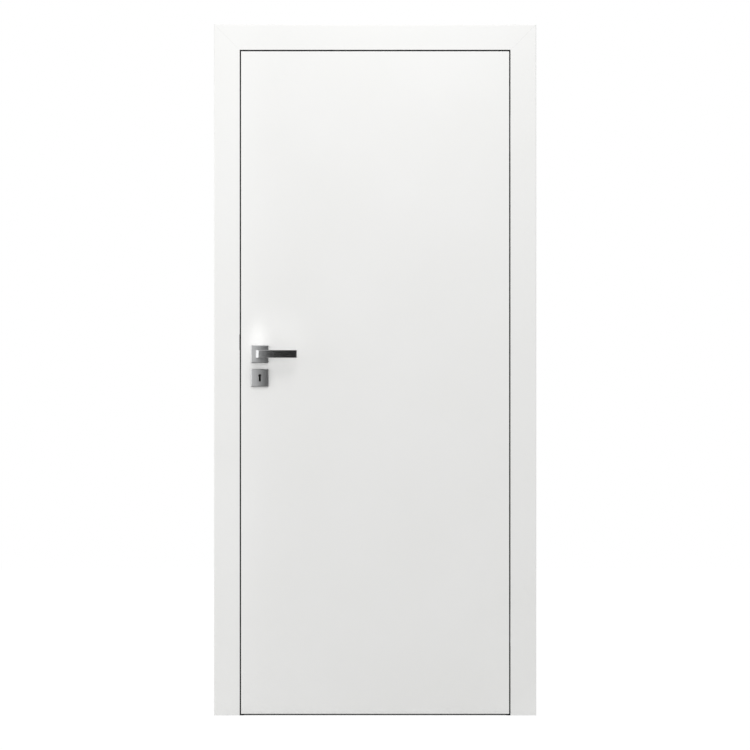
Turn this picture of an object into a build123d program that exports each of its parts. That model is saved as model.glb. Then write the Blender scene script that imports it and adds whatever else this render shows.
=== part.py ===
from build123d import *
import math
import os

# A flush interior door in its casing: leaf, frame, hidden hinges, lever handles and lock.
# While it is drawn, X runs across the doorway from its middle, with the hinges at +X,
# Y runs into the wall from the front face, and Z is the height above the floor.
# Everything is moved to the origin of the part as it is written, at the end.

# Leaf and the gaps round it
LEAF_WIDTH = 818.0
LEAF_HEIGHT = 2018.0
LEAF_THICK = 40.0
SKIN = 3.0
SIDE_GAP = 3.0
TOP_GAP = 3.5
FLOOR_GAP = 5.0
HINGE_STILE_WIDTH = 60.0
LOCK_STILE_WIDTH = 110.0
LOCK_BLOCK = (955.0, 1200.0)
RAIL_HEIGHT = 70.0
ARRIS = 0.3

# Frame and casings
WALL_THICK = 120.0
CASING_WIDTH = 79.0
CASING_THICK = 10.0
CASING_ROUND = 3.5
JAMB_THICK = 44.0
STOP_DEPTH = 44.0
STOP_HEIGHT = 12.0
BACK_REVEAL = 5.0
TONGUE_THICK = 5.0
TONGUE_LENGTH = 20.0
TONGUE_INSET = 22.0
TONGUE_PLAY = 1.0
SEAL_BULB = 7.0
SEAL_GAP = 0.5
SEAL_STEM = 3.0
SEAL_STEM_DEPTH = 5.0
SEAL_ROUND = 1.6

# Hidden hinges: V is the line that the leaf turns about, in front of the gap
TURN_FORWARD = 3.0
PIVOT_SIDE = 4.5
PIVOT_BACK = 11.0
HINGE_CENTRES = {"lower": 265.0, "upper": 1776.0}
CUP_HEIGHT = 107.0
CUP_DEPTH = 34.0
CUP_WALL = 2.0
CUP_ROUND = 5.0
MIDDLE_HALF = 18.0
SHELF_THICK = 2.0
SHELF_GAP = 0.75
SHELF_SETBACK = 2.5
ARM_TOP = 43.0
END_GAP = 0.5
GROOVE_DEPTH = 5.5
PIN_RADIUS = 1.5
RUNNING_GAP = 0.05
SLOT_GAP = 0.3
LUG_RADIUS = 3.0
BOSS_RADIUS = 2.4
SPINE = (8.0, 13.0)
FRONT_PRONG = (8.8, 13.2)
MIDDLE_PRONG = (20.5, 24.6)
TAIL_PRONG = (32.5, 37.0)
TAIL_PIN_X = -22.0
SPINE_ROUND = 4.0
SWING_LIMIT = 170.0

# Handle, key plates and lock
HANDLE_HEIGHT = 1100.7
HANDLE_BACKSET = 57.8
ROSE_SIZE = 53.5
ROSE_THICK = 8.0
PLATE_CORNER = 1.8
PLATE_BEVEL = 1.7
COLLAR_RADIUS = 9.0
LEVER_BACKSET = 12.0
LEVER_REACH = 113.0
LEVER_HEIGHT = 21.7
NECK_HEIGHT = 24.5
NECK_WIDTH = 22.0
LEVER_OUT = 56.0
BAR_THICK = 10.0
CORNER_CHAMFER = 8.5
LEVER_CLEAR = 0.5
SPINDLE_SIZE = 8.0
SPINDLE_BORE = 8.0
SPINDLE_PAST_ROSE = 12.0
SKIN_BORE = 10.5
KEY_DROP = 72.3
KEYHOLE_RADIUS = 4.3
KEYHOLE_SLOT = 6.0
KEYHOLE_HEIGHT = 22.0
LOCK_CASE = (88.0, 15.0, 190.0)
LOCK_CASE_TOP = 72.0
FACEPLATE = (3.0, 20.0, 235.0)
LATCH_RISE = 36.0
BOLT_SIZE = (12.0, 28.0)
BOLT_GAP = 0.3
STRIKE = (3.0, 20.0, 190.0)
STRIKE_FRONT = 11.0
STRIKE_BOX_DEPTH = 16.0
STRIKE_BOX_FLOOR = 2.0
STRIKE_BOX_INSET = (2.0, 15.0)
STRIKE_PLAY = 1.5
NOTCH = (1.5, 48.0)

# How far a solid reaches into the one that it is joined to
OVERLAP = 1.0

# Worked out from the sizes above
LEAF_EDGE = LEAF_WIDTH / 2
REBATE = LEAF_EDGE + SIDE_GAP
STOP_EDGE = REBATE - STOP_HEIGHT
JAMB_OUTER = REBATE + JAMB_THICK
CASING_OUTER = REBATE + CASING_WIDTH
LEAF_BOTTOM = FLOOR_GAP
LEAF_TOP = FLOOR_GAP + LEAF_HEIGHT
HEAD_REBATE = LEAF_TOP + TOP_GAP
HEAD_STOP = HEAD_REBATE - STOP_HEIGHT
HEAD_OUTER = HEAD_REBATE + JAMB_THICK
CASING_TOP = HEAD_REBATE + CASING_WIDTH
FRAME_FRONT = CASING_THICK
FRAME_BACK = CASING_THICK + WALL_THICK
BACK_FACE = FRAME_BACK + CASING_THICK
BACK_INNER = STOP_EDGE + BACK_REVEAL
BACK_OUTER = BACK_INNER + CASING_WIDTH
BACK_HEAD_INNER = HEAD_STOP + BACK_REVEAL
BACK_HEAD_OUTER = BACK_HEAD_INNER + CASING_WIDTH
TONGUE_FRONT = FRAME_BACK - TONGUE_LENGTH + TONGUE_PLAY
WALL_MIDDLE = (FRAME_FRONT + FRAME_BACK) / 2
LEAF_MIDDLE = LEAF_THICK / 2
GAP_MIDDLE = LEAF_EDGE + SIDE_GAP / 2
HANDLE_X = HANDLE_BACKSET - LEAF_EDGE
KEY_HEIGHT = HANDLE_HEIGHT - KEY_DROP
LATCH_HEIGHT = HANDLE_HEIGHT + LATCH_RISE
LINK_RADIUS = math.hypot(PIVOT_SIDE, PIVOT_BACK)
LINK_ANGLE = math.degrees(math.atan2(PIVOT_BACK, PIVOT_SIDE))
TAIL_PIN_Y = sum(TAIL_PRONG) / 2
CUP_FRONT = SKIN
CUP_BACK = LEAF_THICK - SKIN


def slab(x, y, z):
    """A box between two values on each axis."""
    size = [abs(b - a) for a, b in (x, y, z)]
    middle = [(a + b) / 2 for a, b in (x, y, z)]
    return Pos(*middle) * Box(*size)


def prism_up(points, z):
    """A plan outline carried from one height to another."""
    outline = Polyline(*[(px, py, z[0]) for px, py in points], close=True)
    return extrude(make_face(outline), amount=z[1] - z[0], dir=(0, 0, 1))


def prism_back(points, y):
    """A front outline carried from one depth to another."""
    outline = Polyline(*[(px, y[0], pz) for px, pz in points], close=True)
    return extrude(make_face(outline), amount=y[1] - y[0], dir=(0, 1, 0))


def rod_y(x, z, radius, y):
    """A round rod along the depth."""
    return Pos(x, (y[0] + y[1]) / 2, z) * Rot(90, 0, 0) * Cylinder(radius, abs(y[1] - y[0]))


def rod_z(x, y, radius, z):
    """An upright round rod."""
    return Pos(x, y, (z[0] + z[1]) / 2) * Cylinder(radius, abs(z[1] - z[0]))


def other_side(shape):
    """The same shape on the other side of the doorway."""
    return mirror(shape, about=Plane.YZ)


def other_face(shape):
    """The same shape on the other face of the leaf."""
    return mirror(shape, about=Plane.XZ.offset(-LEAF_MIDDLE))


# Frame


def jamb_section():
    """Plan of the hinge jamb: a board with a stop, and a groove at the back for the casing."""
    groove = (REBATE + TONGUE_INSET, REBATE + TONGUE_INSET + TONGUE_THICK)
    return [
        (REBATE, FRAME_FRONT),
        (JAMB_OUTER, FRAME_FRONT),
        (JAMB_OUTER, FRAME_BACK),
        (groove[1], FRAME_BACK),
        (groove[1], FRAME_BACK - TONGUE_LENGTH),
        (groove[0], FRAME_BACK - TONGUE_LENGTH),
        (groove[0], FRAME_BACK),
        (STOP_EDGE, FRAME_BACK),
        (STOP_EDGE, STOP_DEPTH),
        (REBATE, STOP_DEPTH),
    ]


def seal_groove(z):
    """The groove in the stop that holds the seal's stem."""
    middle = (STOP_EDGE + REBATE) / 2
    return slab(
        (middle - SEAL_STEM / 2, middle + SEAL_STEM / 2),
        (STOP_DEPTH, STOP_DEPTH + SEAL_STEM_DEPTH),
        z,
    )


def hinge_jamb():
    """The jamb on the hinge side, let out for the frame half of each hinge."""
    jamb = prism_up(jamb_section(), (0, HEAD_OUTER)) - seal_groove((0, HEAD_OUTER))
    for height in HINGE_CENTRES.values():
        jamb -= frame_cup_outside(height)
    return jamb


def lock_jamb():
    """The jamb on the lock side, let out for the strike plate and its box."""
    jamb = other_side(prism_up(jamb_section(), (0, HEAD_OUTER)) - seal_groove((0, HEAD_OUTER)))
    return jamb - strike_outside() - strike_box_outside()


def head_jamb():
    """The head fits between the two jambs, with the same section laid along X."""
    shift = HEAD_REBATE - REBATE
    points = [(y, x + shift) for x, y in jamb_section()]
    outline = Polyline(*[(-JAMB_OUTER, y, z) for y, z in points], close=True)
    head = extrude(make_face(outline), amount=2 * JAMB_OUTER, dir=(1, 0, 0))
    middle = (HEAD_STOP + HEAD_REBATE) / 2
    head -= slab(
        (-JAMB_OUTER, JAMB_OUTER),
        (STOP_DEPTH, STOP_DEPTH + SEAL_STEM_DEPTH),
        (middle - SEAL_STEM / 2, middle + SEAL_STEM / 2),
    )
    plain = prism_up(jamb_section(), (0, HEAD_OUTER))
    filled = plain + slab((REBATE, JAMB_OUTER), (FRAME_FRONT, FRAME_BACK), (0, HEAD_OUTER))
    return head - filled - other_side(filled)


def casing_side(inner, outer, top_inner, top_outer, y):
    """An upright casing board with its upper end mitred."""
    points = [(inner, 0), (outer, 0), (outer, top_outer), (inner, top_inner)]
    return prism_back(points, y)


def casing_head(inner, outer, top_inner, top_outer, y):
    """The casing board over the doorway, mitred at both ends."""
    points = [(-inner, top_inner), (inner, top_inner), (outer, top_outer), (-outer, top_outer)]
    return prism_back(points, y)


def rounded_edge(board, x, y, z):
    """Rounds the long edges of a board that lie at one place, given on two axes."""
    edges = board.edges()
    for axis, value in ((Axis.X, x), (Axis.Y, y), (Axis.Z, z)):
        if value is not None:
            edges = edges.filter_by_position(axis, value, value)
    return fillet(edges, CASING_ROUND)


def front_casing_hinge_side():
    """The front board on the hinge side, let out where the hinges reach its back."""
    board = casing_side(REBATE, CASING_OUTER, HEAD_REBATE, CASING_TOP, (0, CASING_THICK))
    board = rounded_edge(board, CASING_OUTER, 0, None)
    for height in HINGE_CENTRES.values():
        board -= frame_cup_outside(height)
    return board


def front_casing_lock_side():
    """The front board on the lock side, with a shallow notch for the lip of the latch."""
    board = casing_side(REBATE, CASING_OUTER, HEAD_REBATE, CASING_TOP, (0, CASING_THICK))
    board = other_side(rounded_edge(board, CASING_OUTER, 0, None))
    notch = slab(
        (-REBATE - NOTCH[0], -REBATE),
        (0, CASING_THICK),
        (LATCH_HEIGHT - NOTCH[1] / 2, LATCH_HEIGHT + NOTCH[1] / 2),
    )
    return board - notch


def front_casing_head():
    """The front board over the doorway."""
    board = casing_head(REBATE, CASING_OUTER, HEAD_REBATE, CASING_TOP, (0, CASING_THICK))
    return rounded_edge(board, None, 0, CASING_TOP)


def back_casing_hinge_side():
    """The back casing carries a tongue that slides in the jamb's groove to suit the wall."""
    board = casing_side(BACK_INNER, BACK_OUTER, BACK_HEAD_INNER, BACK_HEAD_OUTER, (FRAME_BACK, BACK_FACE))
    board = rounded_edge(board, BACK_OUTER, BACK_FACE, None)
    tongue = (REBATE + TONGUE_INSET, REBATE + TONGUE_INSET + TONGUE_THICK)
    return board + slab(tongue, (TONGUE_FRONT, FRAME_BACK), (0, HEAD_REBATE))


def back_casing_lock_side():
    return other_side(back_casing_hinge_side())


def back_casing_head():
    """The back board over the doorway, with its tongue in the head's groove."""
    board = casing_head(BACK_INNER, BACK_OUTER, BACK_HEAD_INNER, BACK_HEAD_OUTER, (FRAME_BACK, BACK_FACE))
    board = rounded_edge(board, None, BACK_FACE, BACK_HEAD_OUTER)
    tongue = (HEAD_REBATE + TONGUE_INSET, HEAD_REBATE + TONGUE_INSET + TONGUE_THICK)
    return board + slab((-STOP_EDGE, STOP_EDGE), (TONGUE_FRONT, FRAME_BACK), tongue)


def seal_strip(bulb_end, stem_end):
    """A soft bulb in front of the stop, with a stem that sits in the stop's groove."""
    middle = (STOP_EDGE + REBATE) / 2
    front = LEAF_THICK + SEAL_GAP
    bulb = slab((middle - SEAL_BULB / 2, middle + SEAL_BULB / 2), (front, STOP_DEPTH), (0, bulb_end))
    bulb = fillet(bulb.edges().filter_by(Axis.Z).group_by(Axis.Y)[0], SEAL_ROUND)
    stem = (middle - SEAL_STEM / 2, middle + SEAL_STEM / 2)
    inset = bulb_end - stem_end
    return bulb + slab(stem, (STOP_DEPTH, STOP_DEPTH + SEAL_STEM_DEPTH), (inset, stem_end))


def seal_hinge_side():
    """The upright seal, which runs up past the head seal to the corner."""
    top = (HEAD_STOP + HEAD_REBATE + SEAL_BULB) / 2
    return seal_strip(top, top)


def seal_lock_side():
    return other_side(seal_hinge_side())


def seal_head():
    """The side seal's section laid along X, with its bulb cut to fit between the side seals."""
    middle = (STOP_EDGE + REBATE) / 2
    reach = middle - SEAL_BULB / 2
    strip = seal_strip(2 * reach, reach + STOP_EDGE)
    laid = Rot(0, -90, 0) * (Pos(-middle, 0, -reach) * strip)
    return Pos(0, 0, (HEAD_STOP + HEAD_REBATE) / 2) * laid


# Hidden hinges


def cup_block(x, height):
    """The outside of half a hinge, with its four long edges rounded."""
    block = slab(x, (CUP_FRONT, CUP_BACK), (height - CUP_HEIGHT / 2, height + CUP_HEIGHT / 2))
    return fillet(block.edges().filter_by(Axis.X), CUP_ROUND)


def frame_cup_outside(height):
    """The space that the frame half of a hinge fills in the jamb and the casing."""
    return cup_block((REBATE, REBATE + CUP_DEPTH), height)


def leaf_cup_outside(height):
    """The same space in the leaf's edge."""
    return cup_block((LEAF_EDGE - CUP_DEPTH, LEAF_EDGE), height)


def tail_slot(z):
    """The curved way that the tail pin of an arm takes in the cup across the gap."""
    centre = (-TAIL_PIN_X + PIVOT_SIDE, TAIL_PIN_Y - PIVOT_BACK)
    arc = CenterArc(centre, LINK_RADIUS, 180 - LINK_ANGLE, SWING_LIMIT)
    slot = SlotArc(arc, height=2 * (PIN_RADIUS + SLOT_GAP))
    return Pos(0, 0, z[0]) * extrude(slot, amount=z[1] - z[0])


def cup_shell():
    """An open box with thick ends, on the frame side of the line that the leaf turns about."""
    front, back = CUP_FRONT + TURN_FORWARD, CUP_BACK + TURN_FORWARD
    mouth, deep = SIDE_GAP / 2, SIDE_GAP / 2 + CUP_DEPTH
    shell = Pos(0, TURN_FORWARD, 0) * cup_block((mouth, deep), 0)
    hollow = slab(
        (mouth, deep - CUP_WALL),
        (front + CUP_WALL, back - CUP_WALL),
        (-ARM_TOP - END_GAP, ARM_TOP + END_GAP),
    )
    return shell - hollow


def cup_shelves():
    """Two thin shelves between the arms, each with a lug round the pivot."""
    z0 = MIDDLE_HALF + SHELF_GAP
    z1 = z0 + SHELF_THICK
    inside = (CUP_FRONT + TURN_FORWARD + CUP_WALL, CUP_BACK + TURN_FORWARD - CUP_WALL)
    deep = SIDE_GAP / 2 + CUP_DEPTH - CUP_WALL
    shelf = slab((SIDE_GAP / 2 + SHELF_SETBACK, deep), inside, (z0, z1))
    shelf += rod_z(PIVOT_SIDE, PIVOT_BACK, LUG_RADIUS, (z0, z1))
    return shelf + mirror(shelf, about=Plane.XY)


def frame_cup():
    """The frame half: pivots for the outer arms, and slots for the middle arm's tail."""
    cup = cup_shell() + cup_shelves()
    z0 = MIDDLE_HALF + SHELF_GAP
    pin = rod_z(PIVOT_SIDE, PIVOT_BACK, PIN_RADIUS, (z0 + SHELF_THICK / 2, ARM_TOP + END_GAP + OVERLAP))
    cup += pin + mirror(pin, about=Plane.XY)
    return cup - tail_slot((-z0 - SHELF_THICK, z0 + SHELF_THICK))


def leaf_cup():
    """The leaf half: the pivot for the middle arm, and grooves for the outer arms' tails."""
    cup = cup_shell() + cup_shelves()
    z0 = MIDDLE_HALF + SHELF_GAP
    cup += rod_z(PIVOT_SIDE, PIVOT_BACK, PIN_RADIUS, (-z0 - SHELF_THICK / 2, z0 + SHELF_THICK / 2))
    end = ARM_TOP + END_GAP
    groove = tail_slot((end, end + GROOVE_DEPTH))
    return other_side(cup - groove - mirror(groove, about=Plane.XY))


def arm_outline():
    """An arm on the frame side: a spine with prongs to its pivot, its crossing and its tail."""
    outline = Pos(PIVOT_SIDE, PIVOT_BACK) * Circle(BOSS_RADIUS)
    outline += plate_between((PIVOT_SIDE, SPINE[1]), FRONT_PRONG)
    outline += plate_between(SPINE, (FRONT_PRONG[0], TAIL_PRONG[1]))
    outline += Pos(0, 2 * PIVOT_BACK) * Circle(BOSS_RADIUS)
    outline += plate_between((0, SPINE[1]), MIDDLE_PRONG)
    tail_round = (TAIL_PRONG[1] - TAIL_PRONG[0]) / 2
    outline += Pos(TAIL_PIN_X, TAIL_PIN_Y) * Circle(tail_round)
    outline += plate_between((TAIL_PIN_X, SPINE[1]), TAIL_PRONG)
    corners = outline.vertices().group_by(Axis.X)[-1]
    return fillet(corners, SPINE_ROUND)


def plate_between(x, y):
    """A rectangle between two values on each axis."""
    return Pos((x[0] + x[1]) / 2, (y[0] + y[1]) / 2) * Rectangle(x[1] - x[0], y[1] - y[0])


def outer_arms():
    """The upper and lower arm that turn on the frame half, joined by the crossing pin."""
    bottom = MIDDLE_HALF + 2 * SHELF_GAP + SHELF_THICK
    arm = Pos(0, 0, bottom) * extrude(arm_outline(), amount=ARM_TOP - bottom)
    arm -= rod_z(PIVOT_SIDE, PIVOT_BACK, PIN_RADIUS + RUNNING_GAP, (bottom, ARM_TOP))
    arm += rod_z(TAIL_PIN_X, TAIL_PIN_Y, PIN_RADIUS, (ARM_TOP, ARM_TOP + GROOVE_DEPTH - END_GAP))
    pin = rod_z(0, 2 * PIVOT_BACK, PIN_RADIUS, (-bottom - OVERLAP, bottom + OVERLAP))
    return arm + mirror(arm, about=Plane.XY) + pin


def middle_arm():
    """The middle arm turns on the leaf half, and the crossing pin runs in its bore."""
    arm = Pos(0, 0, -MIDDLE_HALF) * extrude(arm_outline(), amount=2 * MIDDLE_HALF)
    for x, y in ((PIVOT_SIDE, PIVOT_BACK), (0, 2 * PIVOT_BACK)):
        arm -= rod_z(x, y, PIN_RADIUS + RUNNING_GAP, (-MIDDLE_HALF, MIDDLE_HALF))
    reach = MIDDLE_HALF + SHELF_GAP + SHELF_THICK
    arm += rod_z(TAIL_PIN_X, TAIL_PIN_Y, PIN_RADIUS, (-reach, reach))
    return other_side(arm)


def at_hinge(shape, height):
    """Moves a hinge piece from the turning line to its place on the door."""
    return Pos(GAP_MIDDLE, -TURN_FORWARD, height) * shape


# Leaf


def handle_bore(radius):
    """A round bore on the handle's axis, right through the leaf."""
    return rod_y(HANDLE_X, HANDLE_HEIGHT, radius, (-LEAF_THICK, 2 * LEAF_THICK))


def keyhole():
    """A round eye with a slot below it, right through the leaf."""
    depth = (-LEAF_THICK, 2 * LEAF_THICK)
    eye_height = KEY_HEIGHT + KEYHOLE_HEIGHT / 2 - KEYHOLE_RADIUS
    foot_height = KEY_HEIGHT - KEYHOLE_HEIGHT / 2 + KEYHOLE_SLOT / 2
    slot = slab(
        (HANDLE_X - KEYHOLE_SLOT / 2, HANDLE_X + KEYHOLE_SLOT / 2),
        depth,
        (foot_height, eye_height),
    )
    foot = rod_y(HANDLE_X, foot_height, KEYHOLE_SLOT / 2, depth)
    return rod_y(HANDLE_X, eye_height, KEYHOLE_RADIUS, depth) + slot + foot


def front_skin():
    """A thin board over the whole leaf, its sharp outer edges just taken off."""
    skin = slab((-LEAF_EDGE, LEAF_EDGE), (0, SKIN), (LEAF_BOTTOM, LEAF_TOP))
    skin = chamfer(skin.faces().sort_by(Axis.Y)[0].edges(), ARRIS)
    return skin - handle_bore(SKIN_BORE) - keyhole()


def back_skin():
    """The board on the back of the leaf."""
    return other_face(front_skin())


def between_skins(x, z):
    """A board that fills the leaf between its two skins."""
    return slab(x, (SKIN, LEAF_THICK - SKIN), z)


def hinge_stile():
    """The post on the hinge side, let out for the leaf half of each hinge."""
    post = between_skins((LEAF_EDGE - HINGE_STILE_WIDTH, LEAF_EDGE), (LEAF_BOTTOM, LEAF_TOP))
    for height in HINGE_CENTRES.values():
        post -= leaf_cup_outside(height)
    return post


def lock_side_post(z):
    """A length of the post on the lock side."""
    return between_skins((-LEAF_EDGE, LOCK_STILE_WIDTH - LEAF_EDGE), z)


def lower_lock_stile():
    return lock_side_post((LEAF_BOTTOM, LOCK_BLOCK[0]))


def upper_lock_stile():
    return lock_side_post((LOCK_BLOCK[1], LEAF_TOP))


def lock_block():
    """The block that the lock is let into, between the two lengths of the stile."""
    block = lock_side_post(LOCK_BLOCK) - lock_case_box() - faceplate_box()
    return block - handle_bore(SKIN_BORE) - keyhole()


def rail(z):
    """A board across the leaf between its two posts."""
    return between_skins((LOCK_STILE_WIDTH - LEAF_EDGE, LEAF_EDGE - HINGE_STILE_WIDTH), z)


def top_rail():
    return rail((LEAF_TOP - RAIL_HEIGHT, LEAF_TOP))


def bottom_rail():
    return rail((LEAF_BOTTOM, LEAF_BOTTOM + RAIL_HEIGHT))


def leaf_core():
    return rail((LEAF_BOTTOM + RAIL_HEIGHT, LEAF_TOP - RAIL_HEIGHT))


# Lock and strike


def faceplate_box():
    """The outside of the lock's faceplate, flush in the leaf's edge."""
    top = HANDLE_HEIGHT + LOCK_CASE_TOP + (FACEPLATE[2] - LOCK_CASE[2]) / 2
    return slab(
        (-LEAF_EDGE, FACEPLATE[0] - LEAF_EDGE),
        (LEAF_MIDDLE - FACEPLATE[1] / 2, LEAF_MIDDLE + FACEPLATE[1] / 2),
        (top - FACEPLATE[2], top),
    )


def lock_case_box():
    """The outside of the lock's case, behind its faceplate."""
    top = HANDLE_HEIGHT + LOCK_CASE_TOP
    return slab(
        (FACEPLATE[0] - LEAF_EDGE, FACEPLATE[0] + LOCK_CASE[0] - LEAF_EDGE),
        (LEAF_MIDDLE - LOCK_CASE[1] / 2, LEAF_MIDDLE + LOCK_CASE[1] / 2),
        (top - LOCK_CASE[2], top),
    )


def bolt_box(height, gap, x):
    """The latch or the dead bolt at one height, with a gap round it."""
    return slab(
        x,
        (LEAF_MIDDLE - BOLT_SIZE[0] / 2 - gap, LEAF_MIDDLE + BOLT_SIZE[0] / 2 + gap),
        (height - BOLT_SIZE[1] / 2 - gap, height + BOLT_SIZE[1] / 2 + gap),
    )


def lock_case():
    """The case with the spindle's bore and the keyhole through it."""
    return lock_case_box() - handle_bore(SPINDLE_BORE) - keyhole()


def lock_faceplate():
    """The plate in the leaf's edge with the two openings that the bolts fill."""
    plate = faceplate_box()
    for height in (LATCH_HEIGHT, KEY_HEIGHT):
        plate -= bolt_box(height, BOLT_GAP, (-LEAF_EDGE, FACEPLATE[0] - LEAF_EDGE))
    return plate


def latch_bolt():
    return bolt_box(LATCH_HEIGHT, 0, (-LEAF_EDGE, FACEPLATE[0] - LEAF_EDGE))


def dead_bolt():
    return bolt_box(KEY_HEIGHT, 0, (-LEAF_EDGE, FACEPLATE[0] - LEAF_EDGE))


def strike_outside():
    """The outside of the strike plate, flush in the jamb."""
    middle = (LATCH_HEIGHT + KEY_HEIGHT) / 2
    return slab(
        (-REBATE - STRIKE[0], -REBATE),
        (STRIKE_FRONT, STRIKE_FRONT + STRIKE[1]),
        (middle - STRIKE[2] / 2, middle + STRIKE[2] / 2),
    )


def strike_box_outside():
    """The outside of the moulded box behind the strike plate."""
    middle = (LATCH_HEIGHT + KEY_HEIGHT) / 2
    return slab(
        (-REBATE - STRIKE[0] - STRIKE_BOX_DEPTH, -REBATE - STRIKE[0]),
        (STRIKE_FRONT + STRIKE_BOX_INSET[0], STRIKE_FRONT + STRIKE[1] - STRIKE_BOX_INSET[0]),
        (middle - STRIKE[2] / 2 + STRIKE_BOX_INSET[1], middle + STRIKE[2] / 2 - STRIKE_BOX_INSET[1]),
    )


def strike_holes(depth):
    """The two holes that the latch and the dead bolt go into."""
    x = (-REBATE - depth, -REBATE)
    return bolt_box(LATCH_HEIGHT, STRIKE_PLAY, x) + bolt_box(KEY_HEIGHT, STRIKE_PLAY, x)


def strike_plate():
    return strike_outside() - strike_holes(STRIKE[0])


def strike_box():
    """The moulded box, closed behind the two holes."""
    return strike_box_outside() - strike_holes(STRIKE[0] + STRIKE_BOX_DEPTH - STRIKE_BOX_FLOOR)


# Handles and key plates


def square_plate(height):
    """A square plate with small round corners and a bevel round its face, on the front of the leaf."""
    plate = slab(
        (HANDLE_X - ROSE_SIZE / 2, HANDLE_X + ROSE_SIZE / 2),
        (-ROSE_THICK, 0),
        (height - ROSE_SIZE / 2, height + ROSE_SIZE / 2),
    )
    plate = fillet(plate.edges().filter_by(Axis.Y), PLATE_CORNER)
    return chamfer(plate.faces().sort_by(Axis.Y)[0].edges(), PLATE_BEVEL)


def front_rose():
    """The handle's plate, with a hole that the lever's collar turns in."""
    return square_plate(HANDLE_HEIGHT) - handle_bore(COLLAR_RADIUS + RUNNING_GAP)


def front_key_plate():
    """The plate round the keyhole."""
    return square_plate(KEY_HEIGHT) - keyhole()


def spindle_bar():
    """The square bar that joins the two levers through the lock."""
    reach = ROSE_THICK + SPINDLE_PAST_ROSE
    return slab(
        (HANDLE_X - SPINDLE_SIZE / 2, HANDLE_X + SPINDLE_SIZE / 2),
        (-reach, LEAF_THICK + reach),
        (HANDLE_HEIGHT - SPINDLE_SIZE / 2, HANDLE_HEIGHT + SPINDLE_SIZE / 2),
    )


def front_lever():
    """A flat bar on a square neck, with the outer corner cut off at an angle."""
    left = HANDLE_X - LEVER_BACKSET
    right = HANDLE_X + LEVER_REACH
    front = -LEVER_OUT
    back = -ROSE_THICK - LEVER_CLEAR
    outline = [
        (left, back),
        (left, front + CORNER_CHAMFER),
        (left + CORNER_CHAMFER, front),
        (right, front),
        (right, front + BAR_THICK),
        (left + NECK_WIDTH, front + BAR_THICK),
        (left + NECK_WIDTH, back),
    ]
    lever = prism_up(outline, (HANDLE_HEIGHT - NECK_HEIGHT / 2, HANDLE_HEIGHT + NECK_HEIGHT / 2))
    trim = (NECK_HEIGHT - LEVER_HEIGHT) / 2
    lever = chamfer(lever.edges().filter_by(Plane.XY).group_by(Axis.Y)[0], trim)
    lever += rod_y(HANDLE_X, HANDLE_HEIGHT, COLLAR_RADIUS, (back - OVERLAP, 0))
    return lever - spindle_bar()


PIECES = {
    "hinge_jamb": hinge_jamb,
    "lock_jamb": lock_jamb,
    "head_jamb": head_jamb,
    "front_casing_hinge_side": front_casing_hinge_side,
    "front_casing_lock_side": front_casing_lock_side,
    "front_casing_head": front_casing_head,
    "back_casing_hinge_side": back_casing_hinge_side,
    "back_casing_lock_side": back_casing_lock_side,
    "back_casing_head": back_casing_head,
    "seal_hinge_side": seal_hinge_side,
    "seal_lock_side": seal_lock_side,
    "seal_head": seal_head,
    "strike_plate": strike_plate,
    "strike_box": strike_box,
    "front_skin": front_skin,
    "back_skin": back_skin,
    "hinge_stile": hinge_stile,
    "lower_lock_stile": lower_lock_stile,
    "upper_lock_stile": upper_lock_stile,
    "lock_block": lock_block,
    "top_rail": top_rail,
    "bottom_rail": bottom_rail,
    "leaf_core": leaf_core,
    "lock_case": lock_case,
    "lock_faceplate": lock_faceplate,
    "latch_bolt": latch_bolt,
    "dead_bolt": dead_bolt,
    "front_rose": front_rose,
    "back_rose": lambda: other_face(front_rose()),
    "front_key_plate": front_key_plate,
    "back_key_plate": lambda: other_face(front_key_plate()),
    "front_lever": front_lever,
    "back_lever": lambda: other_face(front_lever()),
    "spindle": spindle_bar,
}
HINGE_PIECES = {
    "frame_cup": frame_cup,
    "leaf_cup": leaf_cup,
    "outer_arms": outer_arms,
    "middle_arm": middle_arm,
}


def write(name, shape):
    """Moves a piece to the part's origin, on the hinge jamb's outer face, and writes it."""
    export_step(Pos(-JAMB_OUTER, -WALL_MIDDLE, 0) * shape, f"parts/{name}.step")


os.makedirs("parts", exist_ok=True)
for name, make in PIECES.items():
    write(name, make())
for name, make in HINGE_PIECES.items():
    piece = make()
    for place, height in HINGE_CENTRES.items():
        write(f"{place}_{name}", at_hinge(piece, height))
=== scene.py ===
"""A white flush door in its lined frame, dressed and lit for the studio.

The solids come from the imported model. This script adds what is too fine for them: the crowned
plates and the bevelled levers, the bulb seal, the screws, the lock's levers, and each finish.
Sizes of the door's pieces are in millimetres. The studio, the lines in the paint and everything
put into a mesh are in metres.
"""
from __future__ import annotations

import logging
import math
from dataclasses import dataclass
from enum import Enum

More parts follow.
